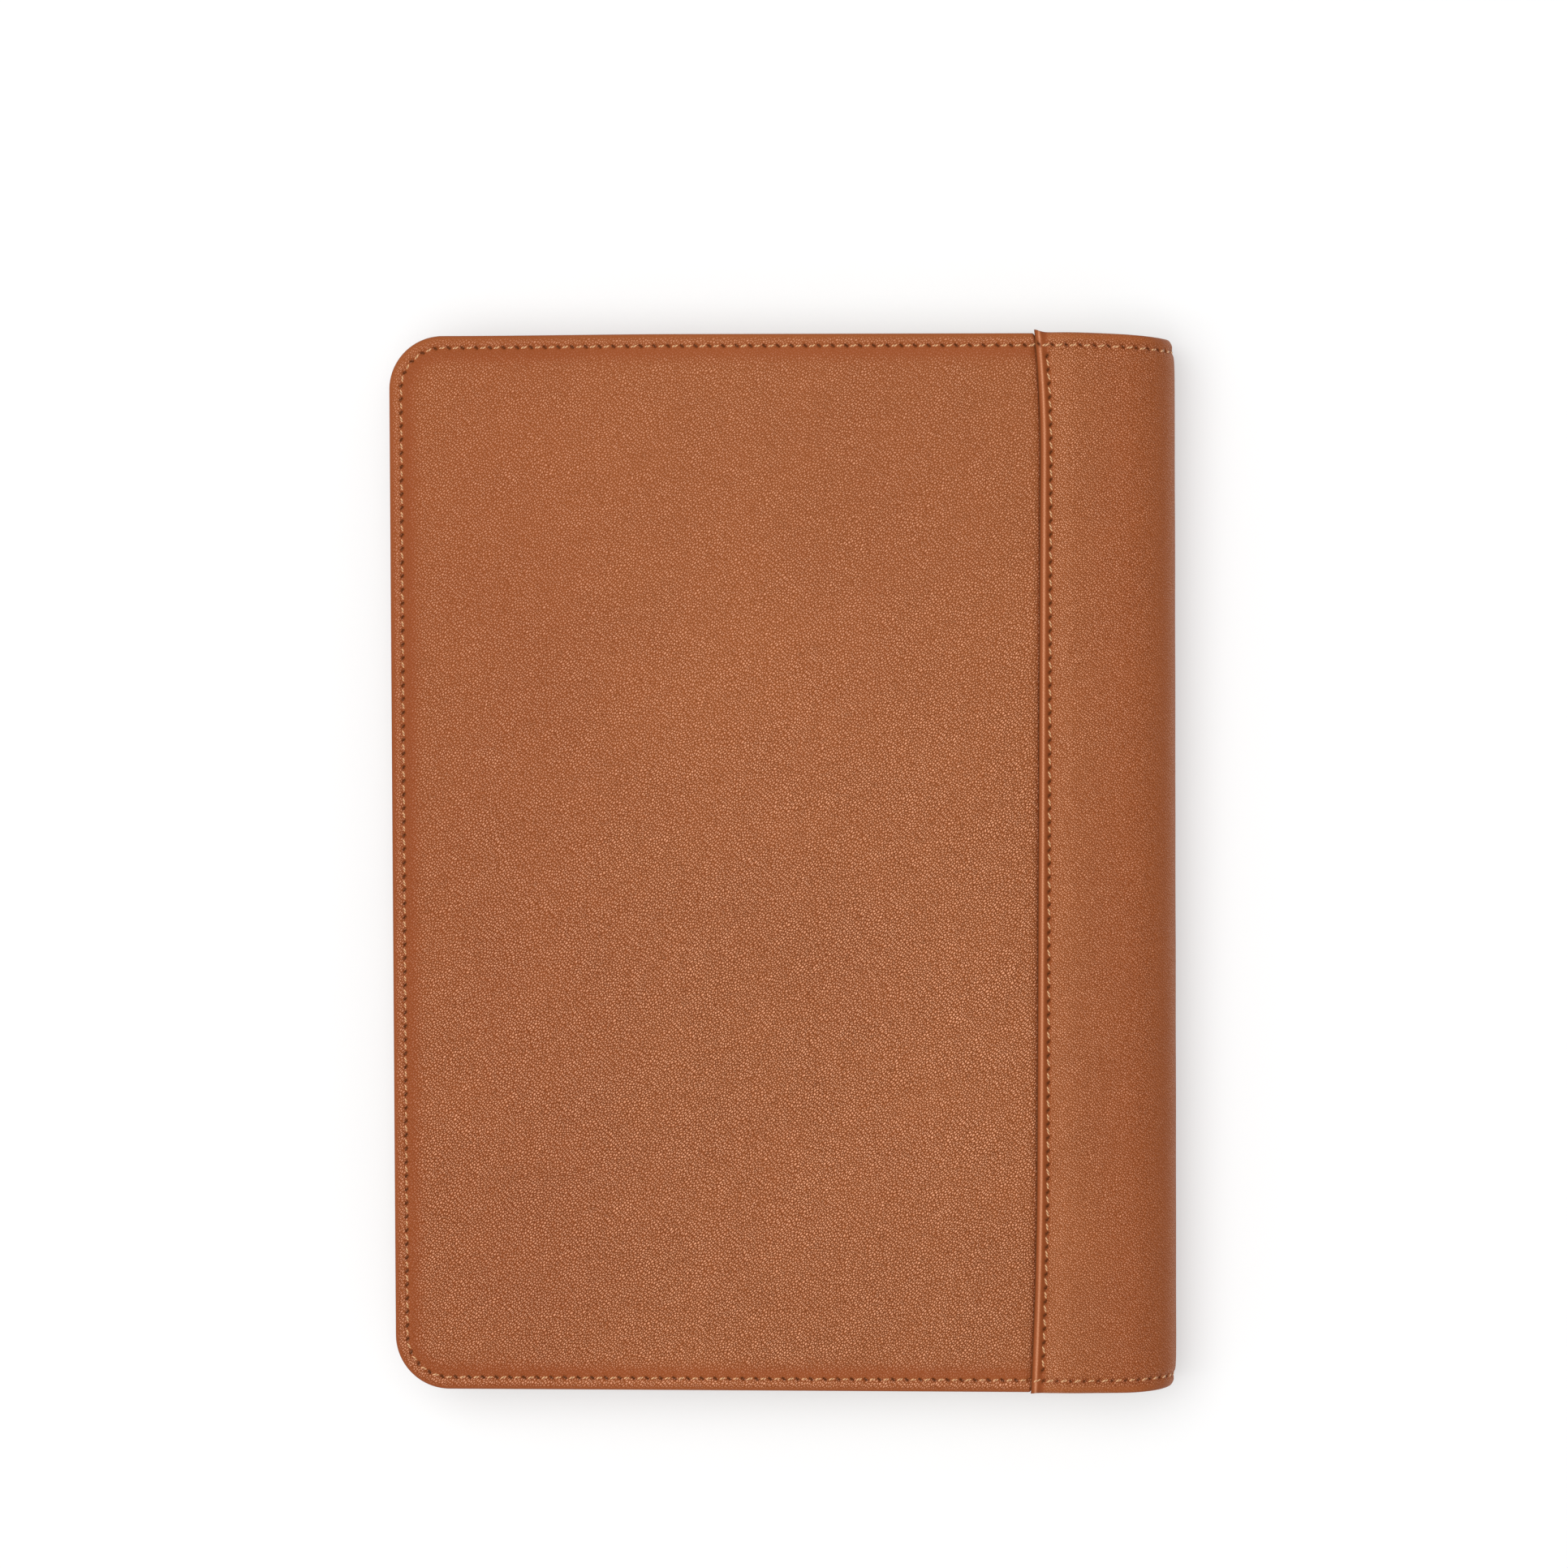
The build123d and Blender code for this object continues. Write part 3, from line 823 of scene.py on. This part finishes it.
# ---- Materials ----
class Shader:
    """A new material, with short calls for its nodes. Values are sockets, numbers or tuples."""

    def __init__(self, name):
        self.material = bpy.data.materials.new(name)
        self.material.use_nodes = True
        self.nodes, self.links = self.material.node_tree.nodes, self.material.node_tree.links
        self.inputs = self.nodes["Principled BSDF"].inputs

    def feed(self, socket, value):
        if isinstance(value, bpy.types.NodeSocket):
            self.links.new(value, socket)
        elif value is not None:
            socket.default_value = (*value, 1) if socket.type == "RGBA" else value

    def add(self, kind, inputs, output=0, **settings):
        """One output of a new node. inputs go by name or number."""
        node = self.nodes.new("ShaderNode" + kind)
        for key, value in settings.items():
            setattr(node, key, value)
        for key, value in inputs.items():
            self.feed(node.inputs[key], value)
        return node.outputs[output]

    def attribute(self, name, output="Fac"):
        return self.add("Attribute", {}, output, attribute_name=name)

    def place(self, attribute, stretch):
        """Stretched texture places, from a stored attribute or, without one, from the object."""
        source = self.attribute(attribute, "Vector") if attribute else self.add("TexCoord", {}, "Object")
        return self.add("Mapping", {"Vector": source, "Scale": stretch})

    def noise(self, vector, scale, detail=3.0, rough=0.55, output="Fac"):
        inputs = {"Vector": vector, "Scale": scale, "Detail": detail, "Roughness": rough}
        return self.add("TexNoise", inputs, output)

    def scatter(self, vector, *steps):
        """Places moved about by noise. A step is the noise's scale and how far it moves them."""
        moved = vector
        for scale, distance in steps:
            noise = self.noise(vector, scale, 2, 0.5, "Color")
            inputs = {0: noise, 1: (distance, distance, 0), 2: moved}
            moved = self.add("VectorMath", inputs, operation="MULTIPLY_ADD")
        return moved

    def cells(self, feature, vector, size, output="Distance"):
        """Pebbles. size is their length, their width and the lay of their length in degrees."""
        long, short, lay = size
        inputs = {"Vector": vector, "Rotation": (0, 0, math.radians(lay)), "Scale": (long, short, 1)}
        turned = self.add("Mapping", inputs, vector_type="TEXTURE")
        inputs = {"Vector": turned, "Scale": 1.0, "Randomness": 0.88}
        return self.add("TexVoronoi", inputs, output, feature=feature, voronoi_dimensions="2D")

    def ramp(self, source, *stops):
        """Colours along source; a stop is (place, colour)."""
        colour = self.add("ValToRGB", {0: source})
        band = colour.node.color_ramp
        band.interpolation = "EASE"
        while len(band.elements) < len(stops):
            band.elements.new(0.5)
        for element, (place, tone) in zip(band.elements, stops):
            element.position = place
            element.color = (*tone, 1)
        return colour

    def maths(self, operation, *values, clamp=False):
        return self.add("Math", dict(enumerate(values)), operation=operation, use_clamp=clamp)

    def blend(self, first, share, second):
        """share of first, and the rest of second."""
        return self.maths("MULTIPLY_ADD", first, share, self.maths("MULTIPLY", second, 1 - share))

    def mix(self, factor, first, second, mode="MIX"):
        return self.add("Mix", {0: factor, 6: first, 7: second}, 2, data_type="RGBA", blend_type=mode)

    def finish(self, colour, roughness, height, strength, distance):
        """The material, with its colour, its roughness and a relief up to distance high."""
        relief = self.add("Bump", {"Height": height, "Strength": strength, "Distance": distance})
        for key, value in (("Base Color", colour), ("Roughness", roughness), ("Normal", relief)):
            self.feed(self.inputs[key], value)
        return self.material


BODY_TONE = 0.38                      # where leather's body colour lies between its creases and crests


def leather(name, tones, pebble=0.42 * MM, relief=0.15 * MM, roughness=0.55, middle=0.61):
    """Pebbled leather. tones are the colours of its creases, body and crests, pebble is a pebble's width,
    and middle is the height, in shares of a pebble, that has the body's colour. The creases' tone is
    painted shade and the crests' tone a painted highlight."""
    shader = Shader(name)
    maths = shader.maths
    skin = shader.attribute("skin", "Vector")
    # stored marks: grain strength, painted shade and painted highlight
    grain, dark, painted_highlight = (shader.attribute(key) for key in ("grain", "dark", "painted_highlight"))

    # pebbles of two sizes, laid along the hide, their outlines broken by noise
    place = shader.scatter(skin, (130, 1.6 * MM), (1500, 0.2 * MM))
    size = (pebble * 1.7, pebble, 46)
    small_size = (pebble * 0.7, pebble * 0.6, 30)
    dome = maths("MULTIPLY_ADD", shader.cells("F1", place, size), -0.75, 1.0, clamp=True)
    gap = maths("MULTIPLY", shader.cells("DISTANCE_TO_EDGE", place, size), 4.0, clamp=True)
    small = maths("MULTIPLY_ADD", shader.cells("F1", place, small_size), -1.3, 1.0, clamp=True)
    chance = shader.add("SeparateColor", {0: shader.cells("F1", place, size, "Color")})
    each = maths("MULTIPLY_ADD", chance, 0.3, 0.82)
    height = maths("MULTIPLY_ADD", small, 0.22, maths("MULTIPLY", maths("MULTIPLY", dome, gap), each))
    height = maths("MULTIPLY_ADD", shader.noise(skin, 2300, 2, 0.5), 0.25, height)
    patchy = maths("MULTIPLY_ADD", shader.noise(skin, 90, 3, 0.5), 0.4, 0.75)
    height = maths("MULTIPLY", maths("SUBTRACT", height, middle), maths("MULTIPLY", grain, patchy))

    # the pebbles' height picks the colour, with painted shade in the creases and a painted highlight on
    # the crests; the painted highlight mark moves leather to the crests' colour, and the painted shade
    # mark first deepens it, then turns it nearly black
    tone_place = maths("ADD", maths("MULTIPLY_ADD", height, 0.9, BODY_TONE), painted_highlight, clamp=True)
    colour = shader.ramp(tone_place, *zip((0.0, BODY_TONE, 0.95), tones))
    cloudy = shader.ramp(shader.noise(skin, 17), (0.3, (0.94, 0.928, 0.916)), (0.7, (1.0, 1.0, 1.0)))
    colour = shader.mix(1.0, colour, cloudy, "MULTIPLY")
    shadow = shader.ramp(dark, (0.25, (0.16, 0.012, 0.0)), (0.6, (0.055, 0.010, 0.0)))
    rough = maths("MULTIPLY_ADD", dark, 0.5, maths("MULTIPLY_ADD", height, -0.75, roughness), clamp=True)
    shader.inputs["Specular IOR Level"].default_value = 0.20
    colour = shader.mix(dark, colour, shadow)
    return shader.finish(colour, maths("MAXIMUM", rough, 0.3), height, 1.0, relief)


def thread_material():
    """Waxed two-ply thread, with painted shade between its plies."""
    shader = Shader("waxed_thread")
    wave = shader.maths("COSINE", shader.maths("MULTIPLY", shader.attribute("twist"), 2.0))
    ply = shader.maths("MULTIPLY_ADD", wave, 0.5, 0.5)
    fibres = shader.maths("MULTIPLY_ADD", shader.noise(None, 2600.0, 2.0, 0.5), 0.4, -0.2)
    height = shader.maths("ADD", ply, fibres, clamp=True)
    # the darkest tone is painted shade between the plies
    tones = ((0.20, 0.075, 0.025), (0.46, 0.22, 0.09), (0.66, 0.37, 0.17))
    shader.inputs["Sheen Weight"].default_value = 0.2
    return shader.finish(shader.ramp(height, *zip((0.0, 0.5, 1.0), tones)), 0.55, height, 0.6, 0.05 * MM)


def fibrous(name, tones, scale, stretch, relief, roughness, sheen=0.0, fleck=0.0, attribute="skin"):
    """Suede, foam, board or card: fine fibres over soft patches, with a few darker flecks."""
    shader = Shader(name)
    fibre_place = shader.place(attribute, stretch)
    fibre = shader.noise(fibre_place, scale, 5.0, 0.65)
    patch = shader.noise(shader.place(attribute, (1, 1, 1)), 60.0)
    colour = shader.ramp(shader.blend(fibre, 0.65, patch), *zip((0.3, 0.5, 0.7), tones))
    if fleck:
        spots = shader.add("TexVoronoi", {"Vector": fibre_place, "Scale": 420.0}, "Distance")
        near = shader.maths("LESS_THAN", spots, 0.13)
        colour = shader.mix(shader.maths("MULTIPLY", near, fleck), colour, tones[0])
    rough = shader.maths("MULTIPLY_ADD", fibre, 0.12, roughness - 0.06)
    shader.inputs["Sheen Weight"].default_value = sheen
    shader.inputs["Sheen Roughness"].default_value = 0.5
    return shader.finish(colour, rough, fibre, 0.8, relief)


def paper_material(name):
    """Ivory paper: faint fibres, pale ruled lines, and the fine layers of a block's edges."""
    line_pitch, line_share, ruled_half = 7.1 * MM, 0.018, 92 * MM
    shader = Shader(name)
    maths = shader.maths
    skin = shader.attribute("skin", "Vector")
    v = shader.add("SeparateXYZ", {0: skin}, "Y")
    fibre = shader.noise(skin, 1500.0, 4.0, 0.6)
    tone = shader.blend(fibre, 0.4, shader.noise(skin, 25.0))
    colour = shader.ramp(tone, (0.3, (0.80, 0.745, 0.62)), (0.7, (0.88, 0.835, 0.72)))
    layers = shader.noise(shader.place("skin", (0.03, 0.03, 1)), 9000.0, 2.0, 0.6)
    shade = maths("MULTIPLY_ADD", layers, 0.30, 0.85, clamp=True)
    colour = shader.mix(1.0, colour, shader.add("CombineColor", {k: shade for k in range(3)}), "MULTIPLY")
    row = maths("FRACT", maths("MULTIPLY", v, 1 / line_pitch))
    line = maths("LESS_THAN", maths("ABSOLUTE", maths("SUBTRACT", row, 0.5)), line_share)
    within = maths("LESS_THAN", maths("ABSOLUTE", v), ruled_half)
    line = maths("MULTIPLY", maths("MULTIPLY", line, within), 0.45)
    colour = shader.mix(line, colour, (0.46, 0.47, 0.50))
    height = maths("ADD", maths("MULTIPLY", fibre, 0.25), layers)
    return shader.finish(colour, maths("MULTIPLY_ADD", fibre, 0.1, 0.78), height, 0.6, 0.03 * MM)


def book_cloth(name, tones):
    """Woven tape on the refill's spine."""
    turns_per_metre = 2 * math.pi / (0.5 * MM)
    shader = Shader(name)
    place = shader.place("", (1, 1, 1))
    places = [shader.add("SeparateXYZ", {0: place}, axis) for axis in "YZ"]
    threads = [shader.maths("SINE", shader.maths("MULTIPLY", at, turns_per_metre)) for at in places]
    weave = shader.maths("MULTIPLY_ADD", shader.maths("MULTIPLY", *threads), 0.35, 0.5)
    slub = shader.noise(place, 700.0)
    colour = shader.ramp(shader.blend(slub, 0.5, weave), *zip((0.3, 0.7), tones))
    return shader.finish(colour, shader.maths("MULTIPLY_ADD", slub, 0.1, 0.7), weave, 0.7, 0.08 * MM)


# each leather's first tone is painted shade in its creases and its last a painted highlight on its crests
TAN = ((0.130, 0.028, 0.004), (0.272, 0.071, 0.013), (0.66, 0.295, 0.160))
grained = leather("grained_leather", TAN)
fine_grained = leather("fine_grained_leather", TAN, pebble=0.36 * MM, relief=0.12 * MM, middle=0.68)
smooth_leather = leather(
    "pocket_leather",
    ((0.16, 0.052, 0.022), (0.34, 0.125, 0.055), (0.46, 0.19, 0.09)),
    relief=0.06 * MM,
    roughness=0.52,
)
thread = thread_material()
suede = fibrous(
    "lining_suede",
    ((0.30, 0.20, 0.13), (0.42, 0.30, 0.205), (0.52, 0.39, 0.28)),
    scale=1400.0,
    stretch=(1, 0.45, 1),
    relief=0.06 * MM,
    roughness=0.9,
    sheen=0.5,
)
foam = fibrous(
    "foam",
    ((0.60, 0.57, 0.50), (0.74, 0.71, 0.64), (0.82, 0.80, 0.74)),
    scale=1900.0,
    stretch=(1, 1, 1),
    relief=0.12 * MM,
    roughness=0.92,
)
grey_board = fibrous(
    "grey_board",
    ((0.21, 0.185, 0.155), (0.33, 0.30, 0.26), (0.42, 0.39, 0.345)),
    scale=1100.0,
    stretch=(1, 0.35, 3),
    relief=0.04 * MM,
    roughness=0.9,
    fleck=0.5,
    attribute="",
)
kraft = fibrous(
    "kraft_card",
    ((0.33, 0.20, 0.10), (0.47, 0.315, 0.175), (0.56, 0.40, 0.245)),
    scale=1300.0,
    stretch=(1, 0.3, 1),
    relief=0.03 * MM,
    roughness=0.8,
    fleck=0.45,
)
pages = paper_material("ivory_paper")
tape = book_cloth("book_cloth", ((0.035, 0.022, 0.015), (0.10, 0.062, 0.042)))


# ---- Camera, light and floor ----
def add_camera():
    """Looks straight down, a little from the spine's side, as the framing needs."""
    distance = 1.3
    frame_width = 0.3330
    aim = Vector((0.0002, 0.0169, THICKNESS))
    lean = Vector((math.tan(math.radians(2.8)), math.tan(math.radians(1.3)), 1)).normalized()
    data = bpy.data.cameras.new("camera")
    data.sensor_width = 36
    data.lens = 36 * distance / frame_width
    data.clip_start = 0.05
    camera = bpy.data.objects.new("camera", data)
    camera.location = aim + lean * distance
    back = lean
    right = Vector((0, 1, 0)).cross(back).normalized()
    up = back.cross(right)
    camera.rotation_mode = "QUATERNION"
    camera.rotation_quaternion = Matrix((right, up, back)).transposed().to_quaternion()
    bpy.context.scene.collection.objects.link(camera)
    bpy.context.scene.camera = camera


def add_light(name, place, aim, size, power):
    """A soft rectangular light."""
    data = bpy.data.lights.new(name, "AREA")
    data.shape = "RECTANGLE"
    data.size, data.size_y = size
    data.energy = power
    light = bpy.data.objects.new(name, data)
    light.location = place
    light.rotation_mode = "QUATERNION"
    light.rotation_quaternion = (Vector(aim) - Vector(place)).to_track_quat("-Z", "Y")
    bpy.context.scene.collection.objects.link(light)


def add_floor():
    """A plain white light table with a faint unevenness."""
    mesh = bpy.data.meshes.new("floor")
    mesh.from_pydata([(-4, -4, 0), (4, -4, 0), (4, 4, 0), (-4, 4, 0)], [], [(0, 1, 2, 3)])
    shader = Shader("floor")
    clouds = shader.noise(None, 3.0, 2.0, 0.5)
    tone = shader.ramp(clouds, (0.3, (0.44, 0.44, 0.44)), (0.7, (0.46, 0.46, 0.46)))
    shader.feed(shader.inputs["Base Color"], tone)
    shader.inputs["Roughness"].default_value = 0.9
    shader.inputs["Specular IOR Level"].default_value = 0.1
    shader.inputs["Emission Color"].default_value = (1, 1, 1, 1)
    shader.inputs["Emission Strength"].default_value = 0.40
    mesh.materials.append(shader.material)
    floor = bpy.data.objects.new("floor", mesh)
    floor.location.z = -0.0002
    bpy.context.scene.collection.objects.link(floor)


def add_world(strength):
    """Even white surroundings."""
    world = bpy.data.worlds.new("studio")
    world.use_nodes = True
    world.node_tree.nodes["Background"].inputs[0].default_value = (1, 1, 1, 1)
    world.node_tree.nodes["Background"].inputs[1].default_value = strength
    bpy.context.scene.world = world


bpy.context.scene.view_settings.view_transform = "Standard"
add_camera()
add_floor()
add_world(0.72)
add_light("overhead", (-0.36, 0.12, 1.6), (0, 0, 0), (1.4, 1.4), 25)


# ---- Pieces ----
def fold_with(piece):
    """Bakes a piece's placement into its mesh; the piece was already bent round half of the spine when it
    was built.
    """
    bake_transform(piece)


def paint(node, material):
    """Gives a CAD node its material."""
    for material_slot in bpy.data.objects[node].material_slots:
        material_slot.material = material


def inner_level(side):
    """Depth of a cover's inner face along its stitch line: lining, then the pocket's leather."""
    pocket = "refill_pocket" if side > 0 else "front_slip_pocket"
    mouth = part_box(pocket)[1].x

    def level(u):
        base = COVER_DROP - 1.6 * MM * spine_foot(u)
        return base + POCKET_LEATHER * ease((mouth + 0.2 * MM - u) / (0.4 * MM))

    return level


def slot_level(s):
    """Depth of the card slots' faces along their sides."""
    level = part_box("card_slot_lower")[1].z
    for node in ("card_slot_lower", "card_slot_middle"):
        level = level - 0.5 * MM * ease((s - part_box(node)[1].y + 0.1 * MM) / (0.5 * MM))
    return level - SLOT_SINK


for side, prefix in ((1, "back"), (-1, "front")):
    cover = f"{prefix}_cover"
    panel = leather_panel(f"{prefix}_panel_leather", side, grained)
    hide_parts(f"{prefix}_leather_panel")
    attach(panel, cover)

    pad = foam_pad(prefix, side, foam)
    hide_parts(f"{prefix}_foam_padding")
    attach(pad, cover)

    half_spine = spine_leather(f"{prefix}_half_spine_leather", side, fine_grained)
    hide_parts(f"{prefix}_spine_flap", *(["spine_leather"] if side > 0 else []))
    fold_with(half_spine)

    stiffener = spine_stiffener(prefix, side, grey_board)
    if side > 0:
        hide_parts("spine_reinforcement")
    fold_with(stiffener)

    lining = cover_lining(prefix, side, suede)
    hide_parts(f"{prefix}_lining", *(["spine_lining"] if side > 0 else []))
    fold_with(lining)

    inner_stitches = inner_row(side, inner_level(side))
    rows = [
        stitch_row(edge_row(side), PITCH, -STITCH_COUNT, STITCH_COUNT),
        stitch_row(seam_row(side), PITCH, -SEAM_STITCHES, SEAM_STITCHES),
        stitch_row(inner_stitches, PITCH, -STITCH_COUNT, STITCH_COUNT, radius=INNER_THREAD),
    ]
    stitches = add_stitches(f"{prefix}_stitches", rows, thread)
    replaced = [f"{prefix}_edge_thread", f"{prefix}_seam_thread"]
    replaced += ["spine_head_thread", "spine_tail_thread", "refill_pocket_thread"] if side > 0 else []
    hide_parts(*replaced)
    fold_with(stitches)

    paint(f"{prefix}_board", grey_board)

pocket = slip_pocket(smooth_leather)
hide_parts("front_slip_pocket")
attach(pocket, "front_cover")
for node in ("card_slot_upper", "card_slot_middle", "card_slot_lower"):
    slot = card_slot(node, smooth_leather)
    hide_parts(node)
    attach(slot, "front_cover")

slot_low, slot_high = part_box("card_slot_lower")
slot_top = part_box("card_slot_upper")[1].y
left, right, tail = slot_low.x + SLOT_INSET, slot_high.x - SLOT_INSET, slot_low.y + SLOT_INSET
runs = [(flat_row(-1, x, slot_level), tail, slot_top) for x in (left, right)]
foot = flat_row(-1, tail, lambda s: slot_high.z - SLOT_SINK + 0 * s, along_v=False)
rows = []
for place, start, stop in [*runs, (foot, left, right)]:
    first, last = round(start / SLOT_PITCH), round(stop / SLOT_PITCH)
    rows.append(stitch_row(place, SLOT_PITCH, first, last, radius=INNER_THREAD))
slot_stitches = add_stitches("slot_stitches", rows, thread)
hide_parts("pocket_thread")
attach(slot_stitches, "front_cover")

back_pocket = refill_pocket(smooth_leather)
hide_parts("refill_pocket")
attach(back_pocket, "back_cover")

back_card = paper("refill_back_card", "refill_back_cover", kraft, 0.15 * MM)
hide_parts("refill_back_cover")
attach(back_card, "back_cover")
page_stack = paper("refill_pages", "page_block", pages, 0.12 * MM)
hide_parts("page_block")
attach(page_stack, "back_cover")
paint("refill_spine_tape", tape)


def turn_leaf(piece):
    """Bakes a leaf's placement into its mesh."""
    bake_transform(piece)


front_card = paper("refill_front_card", "refill_front_cover", kraft, 0.15 * MM)
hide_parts("refill_front_cover")
turn_leaf(front_card)
for leaf in ("leaf_1", "leaf_2", "leaf_3"):
    for layer, trim in enumerate((0.0, 0.25 * MM, 0.1 * MM)):
        name, z = f"{leaf}_sheet_{layer + 1}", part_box(leaf)[0].z + layer * SHEET_STEP
        sheet = paper(name, leaf, pages, 0.04 * MM, bottom=z, top=z + SHEET, trim=trim)
        if layer == 0:
            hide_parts(leaf)
        turn_leaf(sheet)
